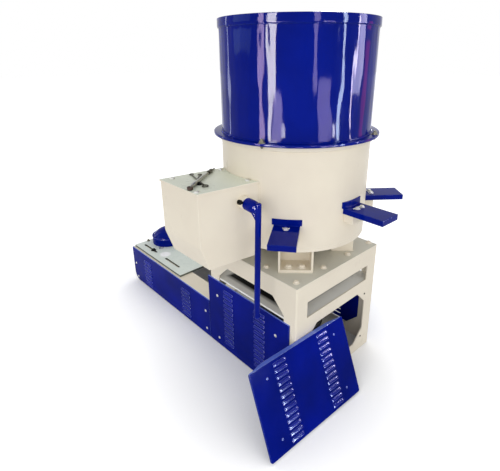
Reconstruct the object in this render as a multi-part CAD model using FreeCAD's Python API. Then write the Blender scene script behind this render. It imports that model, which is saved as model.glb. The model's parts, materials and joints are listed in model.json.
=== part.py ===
import FreeCAD, Part
import math
import os

# Plastic agglomerator: a square welded stand carries a round cutting drum on four feet, and a tall
# blue hopper stands on the drum. A low frame beside the stand carries the sliding motor plate.
# The model is built about the drum's axis, with the stand's end face towards +X, the discharge
# box towards -Y and the floor at Z = 0. At the end it is moved so that the middle of its overall
# box lies over the origin. All sizes are in millimetres.

V = FreeCAD.Vector
UP = V(0, 0, 1)

# Stand under the drum
STAND_X = 640.0          # length of the stand, along the machine
STAND_Y = 640.0          # width of the stand, across the machine
STAND_Z = 636.0          # height to the top face of its top plate
STAND_SHEET = 8.0        # side plates
TOP_SHEET = 12.0         # top plate
WINDOW_W = 488.0         # width of the openings in the side plates
WINDOW_LOW = 61.0        # bottom edge of the lower openings
WINDOW_MID = 390.0       # top edge of the octagon in the end plates
SLOT_LOW = 452.0         # bottom edge of the slot in the end plates
SLOT_HIGH = 537.0        # top edge of the slot, and of the tall side openings
CHAMFER = 75.0           # cut corners of the openings
CORNER = 7.5             # rounded upright edges of the stand, within its sheet
SHELF_TOP = 446.0        # top face of the inner shelf
SHELF_SHEET = 10.0
SHELF_BORE_R = 110.0     # hole in the shelf under the bearing housing
FLOOR_BAR_X = 62.0       # near side of the channel that lies on the floor inside the stand
FLOOR_BAR_W = 53.0
FLOOR_BAR_LEN = 134.0    # its length in from the back plate
FLOOR_BAR_SHEET = 5.0

# Motor frame beside the stand
FRAME_X = 967.0          # length of the motor frame
FRAME_Z = 261.0          # height of the motor frame
FRAME_SHEET = 8.0
FLANGE_W = 105.0         # width of its top flanges
FRAME_CORNER_R = 60.0    # rounded lower outer corner of its sides
SIDE_WINDOW_MARGIN = 60.0   # metal left round the openings behind its louvre panels

# Louvred covers
COVER_SHEET = 2.0
COVER_FOLD = 30.0        # depth of the end cover's folded edges
SIDE_COVER_FOLD = 7.0    # depth of the side covers' folded edges
SIDE_COVER_BEND_R = 3.0  # outside radius of those folds
SIDE_COVER_X0 = -337.0   # ends of the stand's side covers, from the drum's axis
SIDE_COVER_X1 = 283.0
SIDE_COVER_Z0 = 6.0
SIDE_COVER_Z1 = 431.0
FRAME_COVER_GAP = 4.0    # joint between the frame's cover and the stand's cover
END_COVER_W = 590.0      # the end cover that leans against the stand
END_COVER_H = 392.0
END_COVER_LEAN = 21.5    # degrees off upright
END_COVER_TURN = -2.7    # degrees, seen from above
END_COVER_Y = -328.0     # middle of the end cover, from the drum's axis
END_COVER_CUT = 12.0     # cut corners of the end cover

# Louvres pressed out of the covers, each a hood over a slit that opens downwards
LOUVRE_H = 13.0          # height of a hood
LOUVRE_OUT = 5.5         # how far a hood stands out
LOUVRE_SHEET = 1.5       # stretched sheet of a hood
STAND_LOUVRES = {"left": [-194.0, 50.0], "length": 68.0, "low": 56.0, "pitch": 30.0, "rows": 12}
FRAME_LOUVRES = {"left": [-1112.0, -632.0], "length": 84.0, "low": 34.0, "pitch": 28.0, "rows": 7}
END_LOUVRES = {"left": [-167.0, 105.0], "length": 62.0, "low": 20.0, "pitch": 28.6, "rows": 13}

# Sliding motor plate
SLIDE_X0 = -1281.0       # outer end, from the drum's axis
SLIDE_LEN = 606.0
SLIDE_Y = 612.0
SLIDE_SHEET = 12.0
SLIDE_SLOT_W = 16.0
SLIDE_SLOT_LEN = 174.0
SLIDE_SLOT_Y = 254.0     # slots' distance from the middle line
SLIDE_SLOT_OUT = 136.0   # from the plate's outer end to the middle of the outer slots
SLIDE_SLOT_IN = 179.0    # from the plate's inner end to the middle of the inner slots
SLIDE_BORE_R = 72.0      # hole for the motor's shaft
SLIDE_BORE_IN = 310.0    # from the plate's inner end to the middle of that hole

# Round blue cover that lies on the motor plate
DOME_R = 113.0
DOME_RIM_H = 55.0
DOME_H = 112.0
DOME_WALL = 4.0
DOME_X = -1172.0
DOME_Y = -92.0

# Drum
DRUM_R = 356.0           # outside radius
DRUM_WALL = 12.0
DRUM_Z0 = 767.0          # underside
DRUM_FLOOR = 20.0
DRUM_Z1 = 1244.0         # top face of the ring that carries the hopper
DRUM_RING_R = 366.0
DRUM_RING_H = 20.0

# Feet between the stand and the drum
FOOT_W = 163.0
FOOT_OUT = 306.0         # distance of the foot's outer edge from the axis
FOOT_DEEP = 110.0
FOOT_BASE = 12.0
FOOT_SIDE = 10.0

# Hopper
HOPPER_R = 356.0
HOPPER_WALL = 4.0
HOPPER_FLANGE_R = 393.0
HOPPER_FLANGE_T = 12.0
HOPPER_TOP = 1739.0
RIM_H = 36.0
RIM_T = 5.0

# Discharge box
BOX_YAW = 7.8            # its axis is turned from -Y towards -X
BOX_SIDE_POS = 148.0     # outside face of the lever's side wall, from the drum's axis
BOX_SIDE_NEG = -126.0    # outside face of the other side wall
BOX_WALL = 6.0
BOX_END = 630.0          # distance of the outer face from the axis, along -Y
BOX_TOP = 1077.0         # top of the walls
BOX_LOW = 738.0          # lower edge of the box
BOX_SLOPE_H = 108.0      # height of the sloping part of the outer wall
BOX_TIP_IN = 36.0        # how far the outer wall has moved in at its lower edge
BOX_BEND_R = 60.0
LID_SHEET = 8.0
LID_LIP = 4.0            # how far the lid stands out past the walls

# Outlet in the drum wall and its gate
OUTLET_W = 200.0
OUTLET_Z0 = 800.0
OUTLET_Z1 = 965.0
GATE_PIVOT_OUT = 403.0   # distance of the gate's shaft from the drum's axis
GATE_PIVOT_Z = 1008.0
GATE_SHAFT_R = 14.0
GATE_CLEAR = 0.4         # running clearance round the shaft
GATE_SHEET = 10.0
GATE_LAP = 14.0          # how far the gate covers the wall round the outlet
GATE_ARM_POS = 60.0      # arms' distance from the middle of the gate
GATE_ARM_T = 10.0
GATE_ARM_LOW = 40.0      # lower ends of the arms above the outlet's lower edge
GATE_ARM_LAP = 16.0      # how far the arms reach past the shaft's axis
GATE_GAP = 5.0           # gap between the gate and the drum when shut
BOSS_R = 28.0
BOSS_LEN = 14.0
HUB_R = 27.0
HUB_LEN = 108.0
HUB_GAP = 1.0
LEVER_R = 13.0
LEVER_LEN = 511.0        # from the shaft's axis to the lever's lower end
LEVER_BACK = 22.0        # lever's axis from the hub's outer end
LEVER_TILT = 1.3         # degrees that its lower end stands away from the drum

# Knife holders round the drum
HOLDER_COUNT = 6
HOLDER_FIRST = -52.5     # degrees from +X
HOLDER_STEP = 360.0 / 7.0
HOLDER_Z = [896.0, 955.0, 920.0, 896.0, 955.0, 920.0]    # tops of their trays
TRAY_W = 116.0
TRAY_LEN = 196.0
TRAY_SHEET = 5.0
TRAY_LIP = 26.0
TRAY_BACK_W = 132.0
TRAY_BACK_H = 29.0
KNIFE_BLOCK_W = 100.0
KNIFE_BLOCK_H = 62.0
KNIFE_BLOCK_OUT = 46.0   # how far the block stands out from the drum
KNIFE_REACH = 60.0       # how far a fixed knife stands into the drum
KNIFE_T = 14.0
KNIFE_W = 70.0

# Rotor, shaft and drive
ROTOR_HUB_R = 95.0
ROTOR_HUB_H = 60.0
ROTOR_GAP = 6.0          # gap between the rotor and the drum's floor
BLADE_LEN = 318.0        # radius swept by the rotor's blades
BLADE_W = 90.0
BLADE_T = 16.0
CAP_R = 60.0
CAP_H = 46.0
SHAFT_R = 35.0
BEARING_R = 100.0
BEARING_FLANGE_R = 135.0
BEARING_FLANGE_T = 18.0
PULLEY_R = 180.0
PULLEY_H = 110.0
PULLEY_Z = 170.0         # underside of the big pulley
PULLEY_HUB_R = 70.0
PULLEY_RIM = 26.0        # thickness of its rim under the grooves
PULLEY_WEB = 22.0        # thickness of the disc between the rim and the hub
GROOVE_COUNT = 4
GROOVE_W = 20.0          # width of a belt groove at the rim
GROOVE_DEEP = 16.0
BORE_CLEAR = 0.5


def box(x0, x1, y0, y1, z0, z1):
    return Part.makeBox(x1 - x0, y1 - y0, z1 - z0, V(x0, y0, z0))


def prism(points, direction):
    wire = Part.makePolygon([V(*p) for p in points] + [V(*points[0])])
    return Part.Face(wire).extrude(V(*direction))


def cylinder(radius, height, base, axis=(0, 0, 1)):
    return Part.makeCylinder(radius, height, V(*base), V(*axis))


def ring(outer, inner, z0, z1):
    return cylinder(outer, z1 - z0, (0, 0, z0)).cut(cylinder(inner, z1 - z0 + 2, (0, 0, z0 - 1)))


def turned(shape, degrees):
    copy = shape.copy()
    copy.rotate(V(0, 0, 0), UP, degrees)
    return copy


def mirrored_y(shape):
    return shape.mirror(V(0, 0, 0), V(0, 1, 0))


def octagon(half, z0, z1, cut):
    return [(-half + cut, z1), (half - cut, z1), (half, z1 - cut), (half, z0 + cut),
            (half - cut, z0), (-half + cut, z0), (-half, z0 + cut), (-half, z1 - cut)]


def hood(x0, length, z0, inset):
    # wedge of one louvre against the plane y = 0: flat lip below, sloping back above
    out = LOUVRE_OUT - inset
    high = LOUVRE_H - 1.6 * inset
    profile = [(0, z0), (-out, z0), (-out, z0 + 0.15 * high), (-0.8 * out, z0 + 0.5 * high),
               (0, z0 + high)]
    points = [(x0 + inset, y, z) for y, z in profile]
    return prism(points, (length - 2 * inset, 0, 0))


def louvred(sheet, pattern):
    # sheet lies between y = 0 and y = COVER_SHEET, with its outer face towards -Y
    hoods = []
    hollows = []
    length = pattern["length"]
    for x0 in pattern["left"]:
        for row in range(pattern["rows"]):
            z0 = pattern["low"] + pattern["pitch"] * row
            hoods.append(hood(x0, length, z0, 0))
            inner = hood(x0, length, z0, LOUVRE_SHEET)
            inner.translate(V(0, 0, -0.01))
            slit = box(x0 + LOUVRE_SHEET, x0 + length - LOUVRE_SHEET, -0.01, COVER_SHEET + 1, z0 - 0.01,
                       z0 + 0.6 * LOUVRE_H)
            hollows.append(inner.fuse(slit))
    return sheet.fuse(hoods).cut(hollows)


parts = {}

# Stand: four side plates with cut openings, the top plate and the inner shelf
hx = STAND_X / 2
hy = STAND_Y / 2
plate_top = STAND_Z - TOP_SHEET
half_window = WINDOW_W / 2

side = box(-hx, hx, -hy, -hy + STAND_SHEET, 0, plate_top)
upright = [e for e in side.Edges if abs(e.CenterOfMass.y + hy) < 1e-6
           and abs(abs(e.CenterOfMass.x) - hx) < 1e-6]
side = side.makeFillet(CORNER, upright)
outline = [(x, -hy - 1, z) for x, z in octagon(half_window, WINDOW_LOW, SLOT_HIGH, CHAMFER)]
side = side.cut(prism(outline, (0, STAND_SHEET + 2, 0)))
parts["stand_front_plate"] = side
parts["stand_back_plate"] = mirrored_y(side)

end_half = hy - STAND_SHEET
end = box(hx - STAND_SHEET, hx, -end_half, end_half, 0, plate_top)
outline = [(hx + 1, y, z) for y, z in octagon(half_window, WINDOW_LOW, WINDOW_MID, CHAMFER)]
end = end.cut(prism(outline, (-STAND_SHEET - 2, 0, 0)))
end = end.cut(box(hx - STAND_SHEET - 1, hx + 1, -half_window, half_window, SLOT_LOW, SLOT_HIGH))
parts["stand_end_plate"] = end
parts["stand_inner_plate"] = end.mirror(V(0, 0, 0), V(1, 0, 0))

top = box(-hx, hx, -hy, hy, plate_top, STAND_Z)
upright = [e for e in top.Edges if abs(abs(e.CenterOfMass.y) - hy) < 1e-6
           and abs(abs(e.CenterOfMass.x) - hx) < 1e-6]
top = top.makeFillet(CORNER, upright)
top = top.cut(cylinder(BEARING_R + BORE_CLEAR, TOP_SHEET + 2, (0, 0, plate_top - 1)))
parts["stand_top_plate"] = top

inner_x = hx - STAND_SHEET
shelf = box(-inner_x, inner_x, -end_half, end_half, SHELF_TOP - SHELF_SHEET, SHELF_TOP)
shelf = shelf.cut(cylinder(SHELF_BORE_R, SHELF_SHEET + 2, (0, 0, SHELF_TOP - SHELF_SHEET - 1)))
parts["stand_shelf"] = shelf

# Channel on the floor inside the stand, its legs down, welded to the back plate
bar_x1 = FLOOR_BAR_X + FLOOR_BAR_W
channel = box(FLOOR_BAR_X, bar_x1, end_half - FLOOR_BAR_LEN, end_half, 0, WINDOW_LOW)
channel = channel.cut(box(FLOOR_BAR_X + FLOOR_BAR_SHEET, bar_x1 - FLOOR_BAR_SHEET,
                          end_half - FLOOR_BAR_LEN - 1, end_half + 1, -1,
                          WINDOW_LOW - FLOOR_BAR_SHEET))
parts["stand_floor_channel"] = channel

# Motor frame: two folded sides with wide top flanges, a far end plate and the louvre panels
frame_x0 = -hx - FRAME_X
web = box(frame_x0, -hx, -hy, -hy + FRAME_SHEET, 0, FRAME_Z)
lower_edges = [e for e in web.Edges if abs(e.CenterOfMass.x - frame_x0) < 1e-6
               and abs(e.CenterOfMass.z) < 1e-6]
web = web.makeFillet(FRAME_CORNER_R, lower_edges)
flange_x0 = frame_x0
flange = box(flange_x0, -hx, -hy + FRAME_SHEET, -hy + FLANGE_W, FRAME_Z - FRAME_SHEET, FRAME_Z)
frame_side = web.fuse(flange)
window = box(frame_x0 + SIDE_WINDOW_MARGIN * 2, -hx - SIDE_WINDOW_MARGIN, -hy - 1,
             -hy + FRAME_SHEET + 1, SIDE_WINDOW_MARGIN, FRAME_Z - SIDE_WINDOW_MARGIN)
frame_side = frame_side.cut(window).removeSplitter()
parts["motor_frame_front_side"] = frame_side
parts["motor_frame_back_side"] = mirrored_y(frame_side)
parts["motor_frame_end_plate"] = box(frame_x0, frame_x0 + FRAME_SHEET, -end_half, end_half,
                                     FRAME_CORNER_R, FRAME_Z - FRAME_SHEET)
parts["motor_frame_cross_bar"] = box(-hx - FLANGE_W, -hx, -hy + FLANGE_W, hy - FLANGE_W,
                                     FRAME_Z - FRAME_SHEET, FRAME_Z)

# Louvred covers on the stand and the motor frame, trays whose folded edges meet the plates


def side_cover(x0, x1, z1, corner, pattern):
    # built against y = 0 and then moved out, so that its folds end at the plate
    outer = box(x0, x1, 0, SIDE_COVER_FOLD, SIDE_COVER_Z0, z1)
    inner = box(x0 + COVER_SHEET, x1 - COVER_SHEET, COVER_SHEET, SIDE_COVER_FOLD + 1,
                SIDE_COVER_Z0 + COVER_SHEET, z1 - COVER_SHEET)
    if corner:
        outer = outer.makeFillet(corner, low_corner(outer, x0, SIDE_COVER_Z0))
        inner = inner.makeFillet(corner - COVER_SHEET,
                                 low_corner(inner, x0 + COVER_SHEET, SIDE_COVER_Z0 + COVER_SHEET))
    front = [e for e in outer.Edges if abs(e.BoundBox.YMax) < 1e-6]
    outer = outer.makeFillet(SIDE_COVER_BEND_R, front)
    cover = louvred(outer.cut(inner), pattern)
    cover.translate(V(0, -hy - SIDE_COVER_FOLD, 0))
    return cover


def low_corner(shape, x0, z0):
    return [e for e in shape.Edges if abs(e.CenterOfMass.x - x0) < 1e-6
            and abs(e.CenterOfMass.z - z0) < 1e-6]


cover = side_cover(SIDE_COVER_X0, SIDE_COVER_X1, SIDE_COVER_Z1, 0, STAND_LOUVRES)
parts["stand_front_cover"] = cover
parts["stand_back_cover"] = mirrored_y(cover)
frame_cover = side_cover(frame_x0, SIDE_COVER_X0 - FRAME_COVER_GAP, FRAME_Z, FRAME_CORNER_R,
                         FRAME_LOUVRES)
parts["motor_frame_front_cover"] = frame_cover
parts["motor_frame_back_cover"] = mirrored_y(frame_cover)

# End cover, taken off and leant against the near upright edge of the stand's end plate
half_cover = END_COVER_W / 2


def cut_corners(half, z0, z1, cut):
    return [(-half + cut, z0), (half - cut, z0), (half, z0 + cut), (half, z1 - cut),
            (half - cut, z1), (-half + cut, z1), (-half, z1 - cut), (-half, z0 + cut)]


outline = cut_corners(half_cover, 0, END_COVER_H, END_COVER_CUT)
tray = prism([(x, 0, z) for x, z in outline], (0, COVER_FOLD, 0))
outline = cut_corners(half_cover - COVER_SHEET, COVER_SHEET, END_COVER_H - COVER_SHEET,
                      END_COVER_CUT)
tray = tray.cut(prism([(x, COVER_SHEET, z) for x, z in outline], (0, COVER_FOLD, 0)))
tray = louvred(tray, END_LOUVRES)
# Turned so that its outer face looks along +X, then leant back and swung round
tray.rotate(V(0, 0, 0), UP, 90)
tray.rotate(V(0, 0, 0), V(0, 1, 0), -END_COVER_LEAN)
tray.rotate(V(0, 0, 0), UP, END_COVER_TURN)
tray.translate(V(0, END_COVER_Y, 0))
over_plate = tray.common(box(-STAND_X, STAND_X, -hy + CORNER, hy, -END_COVER_H, 2 * END_COVER_H))
contact_x = over_plate.optimalBoundingBox(False).XMin
tray.translate(V(hx - contact_x, 0, -tray.optimalBoundingBox(False).ZMin))
parts["leaning_end_cover"] = tray

# Sliding motor plate with its slots and the hole for the motor's shaft
slide_x1 = SLIDE_X0 + SLIDE_LEN
slide = box(SLIDE_X0, slide_x1, -SLIDE_Y / 2, SLIDE_Y / 2, FRAME_Z, FRAME_Z + SLIDE_SHEET)


def slot_cut(cx, cy):
    straight = SLIDE_SLOT_LEN - SLIDE_SLOT_W
    r = SLIDE_SLOT_W / 2
    z0 = FRAME_Z - 1
    body = box(cx - straight / 2, cx + straight / 2, cy - r, cy + r, z0, z0 + SLIDE_SHEET + 2)
    for sx in (-1, 1):
        body = body.fuse(cylinder(r, SLIDE_SHEET + 2, (cx + sx * straight / 2, cy, z0)))
    return body


for cx in (SLIDE_X0 + SLIDE_SLOT_OUT, slide_x1 - SLIDE_SLOT_IN):
    for sy in (-1, 1):
        slide = slide.cut(slot_cut(cx, sy * SLIDE_SLOT_Y))
bore_x = slide_x1 - SLIDE_BORE_IN
slide = slide.cut(cylinder(SLIDE_BORE_R, SLIDE_SHEET + 2, (bore_x, 0, FRAME_Z - 1)))
parts["motor_slide_plate"] = slide.removeSplitter()

# Round cover on the motor plate: an upright rim and a domed top, open underneath
slide_top = FRAME_Z + SLIDE_SHEET


def domed_disc(radius, rim, height):
    # upright cylinder of the rim's height with a cap cut from a sphere on top of it
    shoulder = radius - 8
    crown = height - rim
    ball_r = (shoulder ** 2 + crown ** 2) / (2 * crown)
    ball = Part.makeSphere(ball_r, V(0, 0, height - ball_r))
    cap = ball.common(cylinder(radius, crown + 2, (0, 0, rim - 1)))
    return cylinder(radius, rim, (0, 0, 0)).fuse(cap)


dome = domed_disc(DOME_R, DOME_RIM_H, DOME_H)
hollow = domed_disc(DOME_R - DOME_WALL, DOME_RIM_H - DOME_WALL, DOME_H - DOME_WALL)
dome = dome.cut(hollow).removeSplitter()
dome.translate(V(DOME_X, DOME_Y, slide_top))
parts["round_blue_cover"] = dome

# Feet: open brackets on the stand's diagonals, between the top plate and the drum
foot_in = FOOT_OUT - FOOT_DEEP
foot = box(foot_in, FOOT_OUT, -FOOT_W / 2, FOOT_W / 2, STAND_Z, STAND_Z + FOOT_BASE)
foot = foot.fuse(box(foot_in, foot_in + FOOT_SIDE, -FOOT_W / 2, FOOT_W / 2, STAND_Z + FOOT_BASE,
                     DRUM_Z0))
for sy in (-1, 1):
    y0 = sy * FOOT_W / 2
    y1 = y0 - sy * FOOT_SIDE
    foot = foot.fuse(box(foot_in + FOOT_SIDE, FOOT_OUT, min(y0, y1), max(y0, y1),
                         STAND_Z + FOOT_BASE, DRUM_Z0))
foot = foot.removeSplitter()
for name, angle in (("front_outer_foot", -45), ("back_outer_foot", 45), ("back_inner_foot", 135),
                    ("front_inner_foot", -135)):
    parts[name] = turned(foot, angle)

# Drum: floor disc, and the wall with its outlet, knife slots and the ring that carries the hopper
floor_top = DRUM_Z0 + DRUM_FLOOR
floor_disc = cylinder(DRUM_R, DRUM_FLOOR, (0, 0, DRUM_Z0))
floor_disc = floor_disc.cut(cylinder(BEARING_R + BORE_CLEAR, DRUM_FLOOR + 2, (0, 0, DRUM_Z0 - 1)))
parts["drum_floor"] = floor_disc

ring_z0 = DRUM_Z1 - DRUM_RING_H
wall = ring(DRUM_R, DRUM_R - DRUM_WALL, floor_top, ring_z0)
outlet = box(-OUTLET_W / 2, OUTLET_W / 2, -DRUM_R - 5, 0, OUTLET_Z0, OUTLET_Z1)
box_mid = (BOX_SIDE_POS + BOX_SIDE_NEG) / 2
outlet.translate(V(box_mid, 0, 0))
wall = wall.cut(turned(outlet, -BOX_YAW))
knife_bars = []
blocks = []
holder_angles = [HOLDER_FIRST + HOLDER_STEP * i for i in range(HOLDER_COUNT)]
for angle, tray_z in zip(holder_angles, HOLDER_Z):
    knife_z = tray_z - TRAY_SHEET - KNIFE_BLOCK_H / 2 - KNIFE_T / 2
    slot = box(DRUM_R - DRUM_WALL - 5, DRUM_R + 5, -KNIFE_W / 2, KNIFE_W / 2, knife_z,
               knife_z + KNIFE_T)
    wall = wall.cut(turned(slot, angle))
    knife_bars.append(turned(box(DRUM_R - DRUM_WALL - KNIFE_REACH, DRUM_R + KNIFE_BLOCK_OUT * 0.6,
                                 -KNIFE_W / 2, KNIFE_W / 2, knife_z, knife_z + KNIFE_T), angle))
top_ring = ring(DRUM_RING_R, DRUM_R - DRUM_WALL, ring_z0, DRUM_Z1)
parts["drum_wall"] = wall.fuse(top_ring).removeSplitter()

# Hopper: flange, and the shell with its rim band
parts["hopper_flange"] = ring(HOPPER_FLANGE_R, HOPPER_R - HOPPER_WALL, DRUM_Z1,
                              DRUM_Z1 + HOPPER_FLANGE_T)
hopper = ring(HOPPER_R, HOPPER_R - HOPPER_WALL, DRUM_Z1 + HOPPER_FLANGE_T, HOPPER_TOP)
hopper = hopper.fuse(ring(HOPPER_R + RIM_T, HOPPER_R - HOPPER_WALL, HOPPER_TOP - RIM_H, HOPPER_TOP))
parts["hopper_shell"] = hopper.removeSplitter()

# Knife holders: a curved back strip and a tray with lips, over a block that clamps the knife
drum_core = cylinder(DRUM_R, HOPPER_TOP, (0, 0, 0))
for i, (angle, tray_z) in enumerate(zip(holder_angles, HOLDER_Z)):
    r0 = DRUM_R - 40
    outer = DRUM_R + TRAY_LEN
    plate = box(r0, outer, -TRAY_W / 2, TRAY_W / 2, tray_z - TRAY_LIP, tray_z)
    under = box(r0 - 1, outer - TRAY_SHEET, -TRAY_W / 2 + TRAY_SHEET, TRAY_W / 2 - TRAY_SHEET,
                tray_z - TRAY_LIP - 1, tray_z - TRAY_SHEET)
    plate = plate.cut(under)
    strip = cylinder(DRUM_R + TRAY_SHEET, TRAY_BACK_H, (0, 0, tray_z))
    strip = strip.common(box(r0, outer, -TRAY_BACK_W / 2, TRAY_BACK_W / 2, tray_z,
                             tray_z + TRAY_BACK_H))
    holder = plate.fuse(strip).cut(drum_core).removeSplitter()
    parts["knife_tray_%d" % (i + 1)] = turned(holder, angle)
    block_top = tray_z - TRAY_SHEET
    block = box(r0, DRUM_R + KNIFE_BLOCK_OUT, -KNIFE_BLOCK_W / 2, KNIFE_BLOCK_W / 2,
                block_top - KNIFE_BLOCK_H, block_top).cut(drum_core)
    block = turned(block, angle)
    parts["knife_block_%d" % (i + 1)] = block.fuse(knife_bars[i]).removeSplitter()

# Discharge box: two side walls with the shaft's bosses, the bent outer wall and the bolted lid,
# open underneath
yaw = math.radians(BOX_YAW)
bend_z = BOX_LOW + BOX_SLOPE_H


def box_plan(side_pos, radial):
    # point at the given distances across and along the box's axis
    return (side_pos * math.cos(yaw) - radial * math.sin(yaw),
            -side_pos * math.sin(yaw) - radial * math.cos(yaw))


def along_to_end(side_pos, end):
    # distance along the axis where a line at this side position meets the plane y = -end
    return (end - side_pos * math.sin(yaw)) / math.cos(yaw)


def outer_profile(end_shift, z0, z1):
    # side view of the outer wall's line as (distance in from the end plane, height)
    slope = BOX_TIP_IN / BOX_SLOPE_H
    return [(end_shift, z1), (end_shift, bend_z), (end_shift + slope * (bend_z - z0), z0)]


def box_solid(inset, z0, z1):
    # the box's outer form, made smaller by inset at its sides and outer wall
    near = BOX_SIDE_POS - inset
    far = BOX_SIDE_NEG + inset
    pts = outer_profile(inset, z0, z1)
    profile = [(0, -BOX_END + d, z) for d, z in pts] + [(0, 0, z0), (0, 0, z1)]
    reach = BOX_END * 1.4
    slab = prism([(-reach, y, z) for x, y, z in profile], (2 * reach, 0, 0))
    bend = [e for e in slab.Edges if abs(e.CenterOfMass.z - bend_z) < 1e-6
            and abs(e.CenterOfMass.y + BOX_END - inset) < 1e-6]
    slab = slab.makeFillet(BOX_BEND_R - inset, bend)
    plan = [box_plan(far, 0), box_plan(near, 0), box_plan(near, reach), box_plan(far, reach)]
    duct = prism([(x, y, z0) for x, y in plan], (0, 0, z1 - z0))
    return slab.common(duct)


shell = box_solid(0, BOX_LOW, BOX_TOP).cut(box_solid(BOX_WALL, BOX_LOW - 1, BOX_TOP + 1))
shell = shell.cut(drum_core)
shell = sorted(shell.Solids, key=lambda s: s.Volume)[-1]
pivot = box_plan(0, GATE_PIVOT_OUT)
across = (math.cos(yaw), -math.sin(yaw), 0)


def along_shaft(radius, start, length):
    x, y = box_plan(start, GATE_PIVOT_OUT)
    return cylinder(radius, length, (x, y, GATE_PIVOT_Z), across)


hole_start = BOX_SIDE_NEG - 2 * BOSS_LEN
shaft_hole = along_shaft(GATE_SHAFT_R + GATE_CLEAR, hole_start,
                         BOX_SIDE_POS + 2 * BOSS_LEN - hole_start)
shell = shell.fuse(along_shaft(BOSS_R, BOX_SIDE_POS, BOSS_LEN))
shell = shell.fuse(along_shaft(BOSS_R, BOX_SIDE_NEG - BOSS_LEN, BOSS_LEN))
parts["discharge_box"] = shell.cut(shaft_hole)

reach_near = along_to_end(BOX_SIDE_POS + LID_LIP, BOX_END + LID_LIP)
reach_far = along_to_end(BOX_SIDE_NEG - LID_LIP, BOX_END + LID_LIP)
plan = [box_plan(BOX_SIDE_NEG - LID_LIP, 0), box_plan(BOX_SIDE_POS + LID_LIP, 0),
        box_plan(BOX_SIDE_POS + LID_LIP, reach_near), box_plan(BOX_SIDE_NEG - LID_LIP, reach_far)]
lid = prism([(x, y, BOX_TOP) for x, y in plan], (0, 0, LID_SHEET)).cut(drum_core)
parts["discharge_lid"] = sorted(lid.Solids, key=lambda s: s.Volume)[-1]

# Gate and lever, which turn together about the cross shaft
hub_start = BOX_SIDE_POS + BOSS_LEN + HUB_GAP
shaft_start = BOX_SIDE_NEG - BOSS_LEN - HUB_GAP
gate_shaft = along_shaft(GATE_SHAFT_R, shaft_start, hub_start - shaft_start)
hub = along_shaft(HUB_R, hub_start, HUB_LEN)
lever_pos = hub_start + HUB_LEN - LEVER_BACK
x, y = box_plan(lever_pos, GATE_PIVOT_OUT)
bar = cylinder(LEVER_R, LEVER_LEN, (x, y, GATE_PIVOT_Z - LEVER_LEN))
bar.rotate(V(x, y, GATE_PIVOT_Z), V(*across), -LEVER_TILT)
parts["gate_lever"] = hub.fuse(bar).removeSplitter()
# The gate: a curved plate over the outlet, two arms and the cross shaft, welded together
inner = DRUM_R + GATE_GAP
curved = ring(inner + GATE_SHEET, inner, OUTLET_Z0 - GATE_LAP, OUTLET_Z1 + GATE_LAP)
window = box(-OUTLET_W / 2 - GATE_LAP, OUTLET_W / 2 + GATE_LAP, -inner - 2 * GATE_SHEET,
             -inner / 2, OUTLET_Z0 - GATE_LAP - 1, OUTLET_Z1 + GATE_LAP + 1)
window.translate(V(box_mid, 0, 0))
curved = curved.common(turned(window, -BOX_YAW))
arms = []
for pos in (box_mid - GATE_ARM_POS, box_mid + GATE_ARM_POS):
    arms.append(box(pos - GATE_ARM_T / 2, pos + GATE_ARM_T / 2, -GATE_PIVOT_OUT - GATE_ARM_LAP,
                    -inner * 0.8, OUTLET_Z0 + GATE_ARM_LOW, GATE_PIVOT_Z + GATE_ARM_LAP / 2))
arms = turned(arms[0].fuse(arms[1]), -BOX_YAW)
gate_core = cylinder(inner + GATE_SHEET * 0.5, HOPPER_TOP, (0, 0, 0))
gate = curved.fuse(arms.cut(gate_core)).fuse(gate_shaft)
parts["discharge_gate"] = gate.removeSplitter()

# Rotor inside the drum, with its shaft, bearing housing and pulley
rotor_z = floor_top + ROTOR_GAP
hub = cylinder(ROTOR_HUB_R, ROTOR_HUB_H, (0, 0, rotor_z))
blades = box(-BLADE_LEN, BLADE_LEN, -BLADE_W / 2, BLADE_W / 2, rotor_z, rotor_z + BLADE_T)
blades = blades.common(cylinder(BLADE_LEN, 200, (0, 0, rotor_z)))
rotor = hub.fuse(blades)
rotor = rotor.cut(cylinder(SHAFT_R, ROTOR_HUB_H + 2, (0, 0, rotor_z - 1)))
shaft_top = rotor_z + ROTOR_HUB_H
rotor = rotor.fuse(Part.makeCone(CAP_R, CAP_R * 0.55, CAP_H, V(0, 0, shaft_top)))
parts["rotor"] = rotor.removeSplitter()
parts["main_shaft"] = cylinder(SHAFT_R, shaft_top - PULLEY_Z, (0, 0, PULLEY_Z))
housing = ring(BEARING_R, SHAFT_R, SHELF_TOP + BEARING_FLANGE_T, floor_top - 2)
foot_ring = ring(BEARING_FLANGE_R, SHAFT_R, SHELF_TOP, SHELF_TOP + BEARING_FLANGE_T)
parts["bearing_housing"] = housing.fuse(foot_ring).removeSplitter()
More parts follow.
